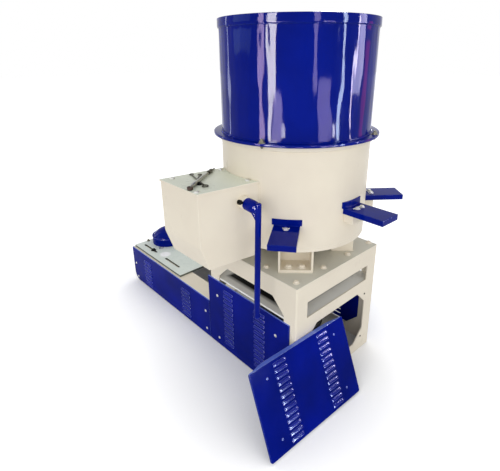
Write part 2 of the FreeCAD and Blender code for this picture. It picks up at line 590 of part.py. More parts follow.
# Pulley: hub, disc and grooved rim, turned from one half section
groove_step = PULLEY_H / GROOVE_COUNT
section = [(SHAFT_R, 0), (PULLEY_HUB_R, 0), (PULLEY_HUB_R, (PULLEY_H - PULLEY_WEB) / 2),
           (PULLEY_R - GROOVE_DEEP - PULLEY_RIM, (PULLEY_H - PULLEY_WEB) / 2),
           (PULLEY_R - GROOVE_DEEP - PULLEY_RIM, 0), (PULLEY_R, 0)]
for i in range(GROOVE_COUNT):
    middle = groove_step * (i + 0.5)
    section += [(PULLEY_R, middle - GROOVE_W / 2), (PULLEY_R - GROOVE_DEEP, middle - GROOVE_W / 4),
                (PULLEY_R - GROOVE_DEEP, middle + GROOVE_W / 4), (PULLEY_R, middle + GROOVE_W / 2)]
section += [(PULLEY_R, PULLEY_H), (PULLEY_R - GROOVE_DEEP - PULLEY_RIM, PULLEY_H),
            (PULLEY_R - GROOVE_DEEP - PULLEY_RIM, (PULLEY_H + PULLEY_WEB) / 2),
            (PULLEY_HUB_R, (PULLEY_H + PULLEY_WEB) / 2), (PULLEY_HUB_R, PULLEY_H),
            (SHAFT_R, PULLEY_H)]
points = [V(r, 0, PULLEY_Z + z) for r, z in section]
half_section = Part.Face(Part.makePolygon(points + [points[0]]))
parts["drive_pulley"] = half_section.revolve(V(0, 0, 0), UP, 360)

# Move the machine so that the middle of its overall box lies over the origin
low = [1e9, 1e9, 1e9]
high = [-1e9, -1e9, -1e9]
for shape in parts.values():
    b = shape.optimalBoundingBox(False)
    low = [min(a, c) for a, c in zip(low, (b.XMin, b.YMin, b.ZMin))]
    high = [max(a, c) for a, c in zip(high, (b.XMax, b.YMax, b.ZMax))]
shift = V(-(low[0] + high[0]) / 2, -(low[1] + high[1]) / 2, -low[2])
print("overall", [round(h - l, 2) for l, h in zip(low, high)], "shift", shift)

os.makedirs("parts", exist_ok=True)
for name, shape in parts.items():
    moved = shape.copy()
    moved.translate(shift)
    if moved.ShapeType == "Compound" and len(moved.Solids) == 1:
        moved = moved.Solids[0]
    print(name, moved.ShapeType, len(moved.Solids), moved.isValid(), round(moved.Volume / 1000, 1))
    moved.exportStep("parts/%s.step" % name)
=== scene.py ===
import json
import math

import bmesh
import bpy
import numpy as np
from mathutils import Matrix, Vector

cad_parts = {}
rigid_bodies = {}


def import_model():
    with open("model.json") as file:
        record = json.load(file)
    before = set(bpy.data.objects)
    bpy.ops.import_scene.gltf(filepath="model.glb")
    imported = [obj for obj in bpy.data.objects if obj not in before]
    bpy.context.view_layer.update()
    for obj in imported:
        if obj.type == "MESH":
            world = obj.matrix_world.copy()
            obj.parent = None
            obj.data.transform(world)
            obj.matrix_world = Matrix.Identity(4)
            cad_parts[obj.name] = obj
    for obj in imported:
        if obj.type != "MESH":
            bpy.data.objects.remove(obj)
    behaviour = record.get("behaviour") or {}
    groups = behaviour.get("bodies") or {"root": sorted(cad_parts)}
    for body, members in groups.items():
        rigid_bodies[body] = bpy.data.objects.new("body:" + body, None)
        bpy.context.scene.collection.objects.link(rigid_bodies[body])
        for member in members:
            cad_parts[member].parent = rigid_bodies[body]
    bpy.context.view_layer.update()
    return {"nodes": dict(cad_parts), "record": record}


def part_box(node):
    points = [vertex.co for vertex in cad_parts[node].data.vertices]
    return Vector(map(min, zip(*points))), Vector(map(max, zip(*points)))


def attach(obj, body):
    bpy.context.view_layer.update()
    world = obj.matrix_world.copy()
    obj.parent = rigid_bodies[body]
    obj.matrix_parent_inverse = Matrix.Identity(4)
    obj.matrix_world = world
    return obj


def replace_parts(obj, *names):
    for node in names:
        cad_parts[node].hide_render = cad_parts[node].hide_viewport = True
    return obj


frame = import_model()

# Everything below is measured in millimetres from the drum's axis at floor level, +X towards the
# open end of the stand and -Y towards the discharge box. place() turns that into the row's metres.
MM = 0.001
low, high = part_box("drum_floor")
DRUM_AXIS = np.array([(low[0] + high[0]) / 2, (low[1] + high[1]) / 2, 0.0])


def place(points):
    return np.asarray(points, float) * MM + DRUM_AXIS


def node_box(node):
    corners = [np.array(corner) - DRUM_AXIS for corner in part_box(node)]
    return corners[0] / MM, corners[1] / MM


def node_points(node):
    mesh = frame["nodes"][node].data
    flat = np.empty(len(mesh.vertices) * 3)
    mesh.vertices.foreach_get("co", flat)
    return (flat.reshape(-1, 3) - DRUM_AXIS) / MM


# Sizes read from the frame
stand_low, stand_high = node_box("stand_top_plate")
drum_high = node_box("drum_wall")[1]
floor_low, floor_high = node_box("drum_floor")
flange_low, flange_high = node_box("hopper_flange")
hopper_low, hopper_high = node_box("hopper_shell")
DRUM_R = floor_high[0]
STAND_TOP = stand_high[2]
SLIDE_TOP = node_box("motor_slide_plate")[1][2]
LID_TOP = node_box("discharge_lid")[1][2]

# Sizes that belong to single pieces
HOPPER_R = 356.0            # outside of the hopper's shell
HOPPER_WALL = 4.0
RIM_H = 36.0                # band round the hopper's mouth
COVER_FOLD = 7.0            # depth of the side covers' folded edges
LOUVRE_H = 13.0             # pressed hoods in the sheet
LOUVRE_OUT = 5.5
LOUVRE_SKIN = 0.7           # the rounded hood stands this far over the plain one
LOUVRE_SHEET = 0.9
STAND_LOUVRES = {"left": (-194.0, 50.0), "length": 68.0, "low": 56.0, "pitch": 30.0, "rows": 12}
FRAME_LOUVRES = {"left": (-1112.0, -632.0), "length": 84.0, "low": 34.0, "pitch": 28.0, "rows": 7}
END_LOUVRES = {"left": (-167.0, 105.0), "length": 62.0, "low": 20.0, "pitch": 28.6, "rows": 13}
END_COVER_LEAN = 21.5       # degrees off upright
END_COVER_TURN = -2.7       # degrees, seen from above
BOX_YAW = math.radians(7.8)     # the discharge box is turned from -Y towards -X
PIVOT_OUT = 403.0           # gate's shaft from the drum's axis
PIVOT_Z = 1008.0
LEVER_SIDE = 249.0          # lever's axis along the gate's shaft
HUB_START = 163.0
HUB_END = 271.0
HUB_R = 27.0
FOOT_CORNERS = (-135, -45, 45, 135)
FOOT_BASE = 12.0
FOOT_HALF = 81.5            # half the width of a foot
FOOT_OUT = 306.0            # a foot's outer edge from the drum's axis
TRAY_BACK_H = 29.0          # strip that holds a tray against the drum
TRAY_HALF = 58.0
TRAY_BOLT_OUT = 42.0        # tray bolts from the drum's wall
TRAY_BOLT_SIDE = 17.0
PLATE_EDGE = 1.2            # rounding of plate edges
TRAY_EDGE = 1.4
GLARE_AT = (-992.0, -226.0, 276.0)     # middle of the painted glare on the slide plate
GLARE_IN = 36.0
GLARE_OUT = 52.0
GLARE_UNEVEN = 16.0
SHELF_SHADE_IN = 222.0           # the shelf's painted shade fades out between these
SHELF_SHADE_OUT = 245.0
SHELF_SHADE_SHAPE = (1.0, 0.88, 1.0)
UP = (0, 0, 1)


def box_plan(side, out):
    """Plan point at the given distances across and along the discharge box's axis."""
    return (side * math.cos(BOX_YAW) - out * math.sin(BOX_YAW),
            -side * math.sin(BOX_YAW) - out * math.cos(BOX_YAW))


# Material helpers


def linear(text):
    """sRGB hex text to linear red, green, blue and alpha: c/12.92 below 0.04045, else the power law."""
    values = np.array([int(text[i:i + 2], 16) for i in (1, 3, 5)]) / 255.0
    values = np.where(values <= 0.04045, values / 12.92, ((values + 0.055) / 1.055) ** 2.4)
    return (*values.tolist(), 1.0)


def add(tree, kind, inputs=None, **settings):
    made = tree.nodes.new(kind)
    for key, value in settings.items():
        setattr(made, key, value)
    for socket, value in (inputs or {}).items():
        if isinstance(value, bpy.types.NodeSocket):
            tree.links.new(value, made.inputs[socket])
        else:
            made.inputs[socket].default_value = value
    return made


def blank(name):
    material = bpy.data.materials.new(name)
    material.use_nodes = True
    material.node_tree.nodes.clear()
    return material, material.node_tree


def per_mm(size):
    """Noise scale for features of this size in millimetres, on Object coordinates in metres."""
    return 1.0 / (size * MM)


def noise(tree, where, size, detail=2.0):
    kind = {"Vector": where, "Scale": per_mm(size), "Detail": detail}
    return add(tree, "ShaderNodeTexNoise", kind).outputs[0]


def ramp(tree, value, start, end, first=0.0, last=1.0):
    """Goes straight from first to last while the value goes from start to end, and is level outside."""
    ends = {"Value": value, "From Min": start, "From Max": end, "To Min": first, "To Max": last}
    return add(tree, "ShaderNodeMapRange", ends).outputs[0]


def blend(tree, factor, first, second):
    """Colour between two others: the first where the factor is 0, the second where it is 1."""
    mixed = add(tree, "ShaderNodeMix", {"Factor": factor, 6: first, 7: second}, data_type="RGBA")
    return mixed.outputs[2]


def calc(tree, operation, first, second):
    return add(tree, "ShaderNodeMath", {0: first, 1: second}, operation=operation).outputs[0]


def coat(name, colour, shade, roughness, gloss_level, peel_mm, peel_depth, edge_mm, edge_highlight_colour,
         stretch=(1, 1, 1), edge_highlight_share=0.6, patch=None):
    """Sprayed enamel: two close tones in soft clouds, orange peel, a paler colour painted on rounded edges
    as a painted highlight, and slow changes of gloss."""
    material, tree = blank(name)
    where = add(tree, "ShaderNodeTexCoord").outputs["Object"]
    stretched = add(tree, "ShaderNodeMapping", {"Vector": where, "Scale": stretch}).outputs[0]
    tone = ramp(tree, noise(tree, where, 260, 3.0), 0.35, 0.7)
    base = blend(tree, tone, linear(colour), linear(shade))
    rough = ramp(tree, noise(tree, where, 70, 4.0), 0.3, 0.75, roughness * 0.8, roughness * 1.35)
    soft = add(tree, "ShaderNodeBevel", {"Radius": edge_mm * MM}, samples=4)
    flat = add(tree, "ShaderNodeNewGeometry")
    facing_same = add(tree, "ShaderNodeVectorMath", {0: soft.outputs[0], 1: flat.outputs["Normal"]},
                      operation="DOT_PRODUCT")
    # Painted highlight: where the Bevel node's rounded normal turns away from the face's normal, the colour
    # goes paler
    edge_highlight = ramp(tree, facing_same.outputs["Value"], 0.995, 0.9, 0.0, edge_highlight_share)
    edged = blend(tree, edge_highlight, base, linear(edge_highlight_colour))
    if patch:
        edged = patch(tree, where, edged)
    peel = noise(tree, stretched, peel_mm)
    bump = add(tree, "ShaderNodeBump", {"Height": peel, "Distance": peel_depth * MM, "Strength": 1.0,
                                        "Normal": soft.outputs[0]})
    shader = add(tree, "ShaderNodeBsdfPrincipled", {
        "Base Color": edged, "Roughness": rough, "IOR": 1.5, "Specular IOR Level": gloss_level,
        "Normal": bump.outputs[0]})
    add(tree, "ShaderNodeOutputMaterial", {"Surface": shader.outputs[0]})
    return material


def painted_glare_patch(tree, where, below):
    """Painted highlight: a round white patch on the slide plate where a glare lies, soft at its rim and
    uneven by a fine noise.
    """
    spot = tuple(place(GLARE_AT))
    away = add(tree, "ShaderNodeVectorMath", {0: where, 1: spot}, operation="DISTANCE")
    uneven = calc(tree, "MULTIPLY", noise(tree, where, 25, 3.0), GLARE_UNEVEN * MM)
    total = calc(tree, "ADD", away.outputs["Value"], uneven)
    mask = ramp(tree, total, GLARE_IN * MM, GLARE_OUT * MM, 0.9, 0.0)
    return blend(tree, mask, below, linear("#ffffff"))


def painted_shade_middle(tree, where, below):
    """Painted shade in the middle of the shelf, deep inside the stand where little light reaches. It fades
    out where the larger of |x| and 0.88 |y| from the drum's axis goes from 222 to 245 mm, which leaves a
    pale band along the edges."""
    spot = tuple(place((0.0, 0.0, 0.0)))
    apart = add(tree, "ShaderNodeVectorMath", {0: where, 1: spot}, operation="SUBTRACT")
    size = add(tree, "ShaderNodeVectorMath", {0: apart.outputs[0]}, operation="ABSOLUTE")
    sized = add(tree, "ShaderNodeVectorMath", {0: size.outputs[0], 1: SHELF_SHADE_SHAPE},
                operation="MULTIPLY")
    split = add(tree, "ShaderNodeSeparateXYZ", {"Vector": sized.outputs[0]})
    larger = calc(tree, "MAXIMUM", split.outputs[0], split.outputs[1])
    mask = ramp(tree, larger, SHELF_SHADE_IN * MM, SHELF_SHADE_OUT * MM, 1.0, 0.0)
    return blend(tree, mask, below, linear("#1b1b19"))


def metal(name, colour, shade, roughness, grain_mm, grain_depth, stretch=(1, 1, 1)):
    """Bare or plated metal: two tones in fine clouds, and a grain that a Mapping can draw out."""
    material, tree = blank(name)
    where = add(tree, "ShaderNodeTexCoord").outputs["Object"]
    drawn = add(tree, "ShaderNodeMapping", {"Vector": where, "Scale": stretch}).outputs[0]
    base = blend(tree, noise(tree, where, 18, 4.0), linear(colour), linear(shade))
    grain = noise(tree, drawn, grain_mm, 3.0)
    rough = ramp(tree, grain, 0.0, 1.0, roughness * 0.75, roughness * 1.3)
    bump = add(tree, "ShaderNodeBump", {"Height": grain, "Distance": grain_depth * MM, "Strength": 1.0})
    shader = add(tree, "ShaderNodeBsdfPrincipled", {
        "Base Color": base, "Metallic": 1.0, "Roughness": rough, "Normal": bump.outputs[0]})
    add(tree, "ShaderNodeOutputMaterial", {"Surface": shader.outputs[0]})
    return material


# Deep blue stove enamel, sprayed and baked: wet gloss, with a shallow orange peel
BLUE = coat("blue_stove_enamel", "#001684", "#001170", 0.06, 0.05, 9.0, 0.006, 1.5, "#4c68d0")
# The same enamel on flat pressed sheet, a little duller from handling
SHEET_BLUE = coat("blue_sheet_enamel", "#00148a", "#00106c", 0.12, 0.02, 12.0, 0.02, 2.0, "#7f98e6")
# Pressed louvres and folded edges: the same enamel a little lighter, with its rounded edges paler still,
# painted highlights where the pressings catch the light
PRESSED_BLUE = coat("blue_pressed_enamel", "#06199a", "#00127c", 0.12, 0.14, 12.0, 0.01, 2.2, "#93a5f2",
                    edge_highlight_share=0.8)
# Pale blue for the sheets' upward faces and the leaning cover's screws: a painted highlight where they face
# the bright room
HIGHLIGHT_BLUE = coat("blue_highlight_enamel", "#6f86de", "#4a62c4", 0.16, 0.2, 12.0, 0.01, 2.0, "#c2cdfb",
                 edge_highlight_share=0.8)
# Cream enamel on welded plate: satin, brushed out thinly over the welds
CREAM = coat("cream_plate_enamel", "#ebe2cf", "#e4dac8", 0.32, 0.05, 14.0, 0.02, 2.2, "#fffbee")
# The same enamel painted greyer and darker where it lies flat on the stand and inside it: painted shade, for
# the upward and inner faces that get less light
SHADED_CREAM = coat("shaded_plate_enamel", "#dad8ca", "#cecbbd", 0.36, 0.05, 14.0, 0.03, 2.2, "#f4f0e2")
# The shelf inside the stand: pale along the windows, with painted shade further in where little light
# reaches
SHELF_CREAM = coat("shelf_plate_enamel", "#f6f5ee", "#eceae2", 0.36, 0.05, 14.0, 0.03, 1.0, "#eeece2",
                   patch=painted_shade_middle)
BLUE_COATS = {BLUE, SHEET_BLUE, PRESSED_BLUE, HIGHLIGHT_BLUE}
# Grey green primer on bare machined plate, with faint wiping marks along the plate and a painted white glare
# on the slide plate
PRIMER = coat("grey_green_primer", "#e4ebe2", "#d6dfd6", 0.28, 0.08, 22.0, 0.02, 1.2, "#f4f8f2",
              (0.2, 1, 1), patch=painted_glare_patch)
LID_PRIMER = coat("yellow_green_primer", "#e8ebd8", "#dbdfcb", 0.3, 0.08, 22.0, 0.02, 1.2, "#f4f4e6",
                  (0.2, 1, 1))
# Turned and ground shaft steel with its fine turning lines round the shaft
STEEL = metal("ground_shaft_steel", "#b9bbbc", "#9fa2a4", 0.28, 3.0, 0.01, (1, 1, 6))
# Rough sand cast iron of the bearing housing and pulley
IRON = metal("sand_cast_iron", "#5b5d5f", "#47494b", 0.55, 4.0, 0.12)
# Bright zinc plate on bolts and washers
ZINC = metal("bright_zinc_plate", "#f0f0ea", "#cbcbc4", 0.34, 2.0, 0.006)
# Zinc plate gone dull and yellowish on the flange nuts and the loose nut
DULL_ZINC = metal("dull_zinc_plate", "#a3a08f", "#7d7a6a", 0.45, 2.0, 0.01)
# Blackened socket screw and oiled tool steel
BLACK = metal("blackened_screw_steel", "#2a2a2a", "#171717", 0.32, 2.0, 0.006)
OILED = metal("oiled_tool_steel", "#6e6d62", "#4a493f", 0.34, 3.0, 0.02)
# Brown oxide on the head of the socket wrench
RUSTY = metal("browned_socket_steel", "#6b5a54", "#4b3f3a", 0.5, 3.0, 0.05)
# Worn tube of the socket wrench, rubbed bright
WORN = metal("rubbed_tube_steel", "#bfc0ba", "#8e8f88", 0.3, 3.0, 0.02)
# Sawn edge of the slide plate, bare and dull
SAWN = metal("sawn_plate_edge", "#8a918b", "#767d77", 0.5, 3.0, 0.05)

FINISH = {"blue_enamel": BLUE, "cream_enamel": CREAM, "primed_plate": PRIMER, "bare_steel": STEEL,
          "cast_iron": IRON}


# Mesh helpers


def grid_faces(rows, cols, wrap):
    """Quads between neighbours of a rows by cols grid of points; wrap joins the last column to the first."""
    r = np.arange(rows - 1)[:, None]
    c = np.arange(cols if wrap else cols - 1)[None, :]
    after = (c + 1) % cols
    quads = np.stack([r * cols + c, r * cols + after, (r + 1) * cols + after, (r + 1) * cols + c], -1)
    return quads.reshape(-1, 4)


def joined(shapes):
    """Puts several (points, faces) together as one, with the face numbers moved on."""
    starts = np.cumsum([0] + [len(points) for points, faces in shapes[:-1]])
    points = np.concatenate([points for points, faces in shapes])
    faces = np.concatenate([shape[1] + start for shape, start in zip(shapes, starts)])
    return points, faces


def repeated(shape, matrices):
    """One shape carried by each of the 4 by 4 matrices, as one set of points and faces."""
    points, faces = shape
    full = np.concatenate([points, np.ones((len(points), 1))], 1)
    moved = np.einsum("kij,nj->kni", np.asarray(matrices), full)[:, :, :3]
    steps = np.arange(len(moved))[:, None, None] * len(points)
    return moved.reshape(-1, 3), (faces[None] + steps).reshape(-1, faces.shape[1])


def tidy(mesh, merge=1e-6, flat=None):
    """Merges near points. Without an angle, spent edges go too and the faces are turned outwards, and
    with one, faces that lie flat to that angle are joined."""
    shape = bmesh.new()
    shape.from_mesh(mesh)
    bmesh.ops.remove_doubles(shape, verts=shape.verts, dist=merge)
    if flat is None:
        bmesh.ops.dissolve_degenerate(shape, edges=shape.edges, dist=1e-7)
        bmesh.ops.recalc_face_normals(shape, faces=shape.faces)
    elif flat > 0:
        bmesh.ops.dissolve_limit(shape, angle_limit=flat, verts=shape.verts, edges=shape.edges)
    shape.to_mesh(mesh)
    shape.free()


def finish(name, mesh, material, body, sharp):
    mesh.materials.clear()
    mesh.materials.append(material)
    mesh.polygons.foreach_set("use_smooth", np.ones(len(mesh.polygons), bool))
    mesh.set_sharp_from_angle(angle=math.radians(sharp))
    made = bpy.data.objects.new(name, mesh)
    bpy.context.scene.collection.objects.link(made)
    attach(made, body)
    return made


def piece(name, shape, material, body="machine", sharp=40.0):
    points, faces = shape
    mesh = bpy.data.meshes.new(name)
    mesh.from_pydata(place(points).tolist(), [], faces.tolist())
    tidy(mesh)
    return finish(name, mesh, material, body, sharp)


def bevelled(made, width, segments=2):
    modifier = made.modifiers.new("edges", "BEVEL")
    modifier.width = width * MM
    modifier.segments = segments
    modifier.limit_method = "ANGLE"
    modifier.angle_limit = math.radians(35)
    modifier.harden_normals = True
    return made


def turned(profile, sides=24):
    """Surface of revolution about z. Each profile row is (radius, height, hexness): at the angle a the
    radius is multiplied by 1 for a circle, or by cos 30 / cos(a mod 60 - 30) for a hexagon, mixed by
    the hexness. Rows of zero radius close the ends."""
    rows = np.array([tuple(row) + (0.0,) * (3 - len(row)) for row in profile])
    angle = np.arange(sides) * 2 * math.pi / sides
    hexagon = math.cos(math.pi / 6) / np.cos(np.mod(angle, math.pi / 3) - math.pi / 6)
    radius = rows[:, :1] * (1 + rows[:, 2:3] * (hexagon[None] - 1))
    points = np.stack([radius * np.cos(angle), radius * np.sin(angle),
                       np.repeat(rows[:, 1:2], sides, 1)], -1)
    return points.reshape(-1, 3), grid_faces(len(rows), sides, True)


def tube(path, radii, sides=10, closed=False):
    """Round section carried along a path: point = path + r(s) (cos a side + sin a up), where side is
    the tangent crossed with the upright, or with x for an upright path. Open ends close to a point."""
    path = np.asarray(path, float)
    radii = np.broadcast_to(np.asarray(radii, float), len(path))
    if closed:
        tangent = np.roll(path, -1, 0) - np.roll(path, 1, 0)
    else:
        tangent = np.gradient(path, axis=0)
    tangent = tangent / np.linalg.norm(tangent, axis=1, keepdims=True)
    upright = np.abs(tangent[:, 2]).max() > 0.95
    reference = np.array([1.0, 0, 0]) if upright else np.array([0, 0, 1.0])
    side = np.cross(tangent, reference)
    side = side / np.linalg.norm(side, axis=1, keepdims=True)
    up = np.cross(side, tangent)
    if not closed:
        path = np.concatenate([path[:1], path, path[-1:]])
        side = np.concatenate([side[:1], side, side[-1:]])
        up = np.concatenate([up[:1], up, up[-1:]])
        radii = np.concatenate([[0.0], radii, [0.0]])
    angle = np.arange(sides) * 2 * math.pi / sides
    ring = np.cos(angle)[None, :, None] * side[:, None] + np.sin(angle)[None, :, None] * up[:, None]
    points = path[:, None] + radii[:, None, None] * ring
    faces = grid_faces(len(path), sides, True)
    if closed:
        last = np.arange(sides) + (len(path) - 1) * sides
        first = np.arange(sides)
        seam = np.stack([last, np.roll(last, -1), np.roll(first, -1), first], -1)
        faces = np.concatenate([faces, seam])
    return points.reshape(-1, 3), faces


def bead(path, radius, pitch=7.0, closed=False):
    """Weld bead: a tube whose radius swells and shrinks by 12 percent along the path, once a pitch."""
    path = np.asarray(path, float)
    steps = np.linalg.norm(np.diff(path, axis=0), axis=1)
    along = np.concatenate([[0.0], np.cumsum(steps)])
    radii = radius * (1 + 0.12 * np.cos(2 * math.pi * along / pitch))
    return tube(path, radii, 8, closed)


def circle_path(radius, z, start=0.0, end=360.0, step=2.5):
    closed = abs(end - start - 360.0) < 1e-9
    count = max(int(math.radians(end - start) * radius / step), 8)
    angle = np.radians(np.linspace(start, end, count, endpoint=not closed))
    return np.stack([radius * np.cos(angle), radius * np.sin(angle), np.full(count, float(z))], -1)


def line_path(a, b, step=2.5):
    a = np.array(a, float)
    b = np.array(b, float)
    count = max(int(np.linalg.norm(b - a) / step), 3)
    return a + (b - a) * np.linspace(0, 1, count)[:, None]


def facing(position, normal, scale=1.0, spin=0.0):
    """Matrix that carries a shape standing on z = 0 to a position, with its z along the normal."""
    turn = Vector(normal).to_track_quat("Z", "Y").to_matrix().to_4x4()
    size = Matrix.Diagonal((scale, scale, scale, 1.0))
    return np.array(Matrix.Translation(Vector(position)) @ turn @ Matrix.Rotation(spin, 4, "Z") @ size)


def ways(degrees):
    """Level directions out from the drum's axis at this angle from +X, and across that."""
    angle = math.radians(degrees)
    out = np.array([math.cos(angle), math.sin(angle), 0])
    return out, np.array([-math.sin(angle), math.cos(angle), 0])


# CAD nodes with their finishes. A copy of each is merged and gets rounded edges and smooth curves.
SLOT_OF = {part["node"]: part["material_slot"] for part in frame["record"]["subparts"]}
BODY_OF = {}
for body, members in frame["record"]["behaviour"]["bodies"].items():
    for node in members:
        BODY_OF[node] = body

# Parts given the greyer cream, as painted shade
SHADED_CREAM_NODES = {"stand_top_plate", "stand_floor_channel"}
SHEET_NODES = {"stand_front_cover", "stand_back_cover", "motor_frame_front_cover",
               "motor_frame_back_cover", "leaning_end_cover"}
OWN_SURFACE = {"hopper_shell", "hopper_flange", "gate_lever", "leaning_end_cover"}


def flatten(made):
    """Lets the large flat faces set the shading at their edges."""
    level = made.modifiers.new("flat_faces", "WEIGHTED_NORMAL")
    level.keep_sharp = True
    level.weight = 100


def dressed(node, edge):
    slot = SLOT_OF[node]
    material = SHEET_BLUE if node in SHEET_NODES else FINISH[slot]
    if node in SHADED_CREAM_NODES:
        material = SHADED_CREAM
    if node == "stand_shelf":
        material = SHELF_CREAM
    mesh = frame["nodes"][node].data.copy()
    tidy(mesh, 1e-5, 0.0 if node in SHEET_NODES else math.radians(0.15))
    made = finish(node + "_finish", mesh, material, BODY_OF[node], 24.0)
    if edge:
        bevelled(made, edge)
    flatten(made)
    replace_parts(made, node)
    return made


def edge_width(node):
    if node in SHEET_NODES or node in ("drum_wall", "drive_pulley"):
        return 0.0
    if node.startswith("knife_tray"):
        return TRAY_EDGE
    return PLATE_EDGE


def facing_up(made):
    """How far up each face of a piece looks: the z of its normal."""
    normals = np.zeros(len(made.data.polygons) * 3)
    made.data.polygons.foreach_get("normal", normals)
    return normals.reshape(-1, 3)[:, 2]


def second_coat(made, material, chosen):
    """Gives the chosen faces of a piece another material."""
    made.data.materials.append(material)
    made.data.polygons.foreach_set("material_index", chosen.astype(np.int32))


# The parts whose edges are painted or cut otherwise than their flat faces. The stand's top plate keeps the
# plain cream on its edges, with the greyer painted shade on its top, and the blue sheets' upward faces get
# the pale painted highlight.
SIDE_COATS = {"discharge_lid": CREAM, "stand_top_plate": CREAM, "motor_slide_plate": SAWN}
for node in sorted(frame["nodes"]):
    if node not in OWN_SURFACE:
        made = dressed(node, edge_width(node))
        if node in SIDE_COATS:
            second_coat(made, SIDE_COATS[node], facing_up(made) < 0.9)
        if node in SHEET_NODES:
            second_coat(made, HIGHLIGHT_BLUE, facing_up(made) > 0.75)
        if node == "discharge_lid":
            made.data.materials[0] = LID_PRIMER


# Hopper: rolled sheet that isn't quite round, so that its reflections run in uneven streaks
WAVES = np.array([(5, 0.34, 0.4, 0.6, 1), (11, 0.28, 2.1, -1.3, 2), (17, 0.30, 4.0, 1.1, 1),
                  (23, 0.27, 0.9, -1.9, 3), (31, 0.24, 5.2, 2.3, 2), (41, 0.20, 3.3, -2.8, 3),
                  (57, 0.13, 1.7, 3.1, 2), (79, 0.07, 0.2, -3.6, 4), (113, 0.03, 2.9, 4.2, 3)])


def rolled_shell(profile, sides, wave_low, wave_high):
    """Surface of revolution from a closed (radius, height) profile. Between the two heights the radius
    loses a few millimetres by a sum of cosines in the angle, whose phases drift with height and whose
    depths swell and fade up the sheet."""
    rows = np.array(profile)
    angle = np.arange(sides) * 2 * math.pi / sides
    height = rows[:, 1]
    share = np.clip((height - wave_low) / (wave_high - wave_low), 0, 1)
    fade = np.clip(np.sin(math.pi * share) * 9, 0.22, 1)
    count, depth, phase, drift, swell = WAVES.T[:, :, None, None]
    up = share[None, :, None]
    turns = count * angle + phase + drift * 1.6 * up
    strength = 0.55 + 0.45 * np.cos(math.pi * swell * up + phase)
    wave = (depth * (strength * np.cos(turns) - 1)).sum(0)
    radius = rows[:, :1] + fade[:, None] * wave
    points = np.stack([radius * np.cos(angle), radius * np.sin(angle),
                       np.repeat(height[:, None], sides, 1)], -1)
    points = np.concatenate([points, points[:1]])
    return points.reshape(-1, 3), grid_faces(len(points), sides, True)


def corner_arc(radius, height, size, start, steps=4):
    """Quarter circle of a rounded corner in a profile, from the start angle in degrees."""
    angle = np.radians(np.linspace(start, start + 90, steps))
    return [(radius + size * math.cos(a), height + size * math.sin(a)) for a in angle]


HOPPER_SIDES = 540
shell_low = hopper_low[2]
shell_top = hopper_high[2]
rim_r = hopper_high[0]
band_low = shell_top - RIM_H
outside = [(HOPPER_R, z) for z in np.linspace(shell_low, band_low, 36)]
inside = [(HOPPER_R - HOPPER_WALL, z) for z in np.linspace(shell_top - 2, shell_low, 24)]
profile = outside + corner_arc(rim_r - 2, band_low + 2, 2, -90) + corner_arc(rim_r - 2, shell_top - 2, 2, 0)
profile += corner_arc(HOPPER_R - HOPPER_WALL + 2, shell_top - 2, 2, 90) + inside
shell = piece("hopper_rolled_shell", rolled_shell(profile, HOPPER_SIDES, shell_low, band_low), BLUE)
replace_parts(shell, "hopper_shell")

flange_r = flange_high[0]
profile = [(HOPPER_R - HOPPER_WALL, flange_low[2])] + corner_arc(flange_r - 2, flange_low[2] + 2, 2, -90)
profile += corner_arc(flange_r - 2, flange_high[2] - 2, 2, 0)
profile += [(HOPPER_R - HOPPER_WALL, flange_high[2])]
flange = piece("hopper_turned_flange", rolled_shell(profile, 192, 0, 1), BLUE)
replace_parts(flange, "hopper_flange")


# Rolled bead where the round cover's wall meets its dome
dome_low, dome_high = node_box("round_blue_cover")
DOME_RIM_H = 55.0
dome_x = (dome_low[0] + dome_high[0]) / 2
dome_y = (dome_low[1] + dome_high[1]) / 2
dome_bead = circle_path((dome_high[0] - dome_low[0]) / 2 - 1.8, dome_low[2] + DOME_RIM_H, step=6)
piece("round_cover_bead", tube(dome_bead + np.array([dome_x, dome_y, 0]), 3.2, 10, closed=True),
      PRESSED_BLUE, sharp=180)


# Louvres: rounded hoods over the plain ones in the sheet


def louvre(length):
    """Pressed hood against y = 0, open below. Along u from -1 to 1 its rise is (1 - |u|^8)^(1/8), and up
    the hood, for v from 0 to 1, it stands out by the rise times cos(pi v / 2)^0.7. The inside follows
    0.9 mm further in, so that the hood is a sheet with its lower lip free."""
    u = np.sin(np.linspace(-1, 1, 15) * math.pi / 2)
    rise = (1 - np.abs(u) ** 8) ** (1 / 8)
    v = np.array([0.0, 0.12, 0.3, 0.55, 0.8, 0.94, 1.0])
    out = np.cos(v * math.pi / 2) ** 0.7
    half = length / 2 + 4.5
    depth = LOUVRE_OUT + LOUVRE_SKIN
    tall = LOUVRE_H + 1.6
    inner_depth = np.maximum(depth * out[:, None] * rise[None] - LOUVRE_SHEET, 0)
    outer = np.stack([np.repeat(u[None] * half, len(v), 0), -depth * out[:, None] * rise[None],
                      tall * v[:, None] * (0.35 + 0.65 * rise[None])], -1)
    inner = np.stack([outer[..., 0] * (1 - LOUVRE_SHEET / half), -inner_depth,
                      outer[..., 2] * (1 - LOUVRE_SHEET / tall)], -1)
    points = np.concatenate([outer, inner[::-1], outer[:1]])
    return points.reshape(-1, 3), grid_faces(len(points), len(u), False)


def louvre_set(pattern):
    matrices = []
    for left in pattern["left"]:
        for row in range(pattern["rows"]):
            spot = (left + pattern["length"] / 2, 0.0, pattern["low"] + pattern["pitch"] * row - 0.4)
            matrices.append(np.array(Matrix.Translation(spot)))
    return repeated(louvre(pattern["length"]), matrices)


def moved(shape, matrix):
    points, faces = shape
    full = np.concatenate([points, np.ones((len(points), 1))], 1)
    return (full @ np.asarray(matrix).T)[:, :3], faces


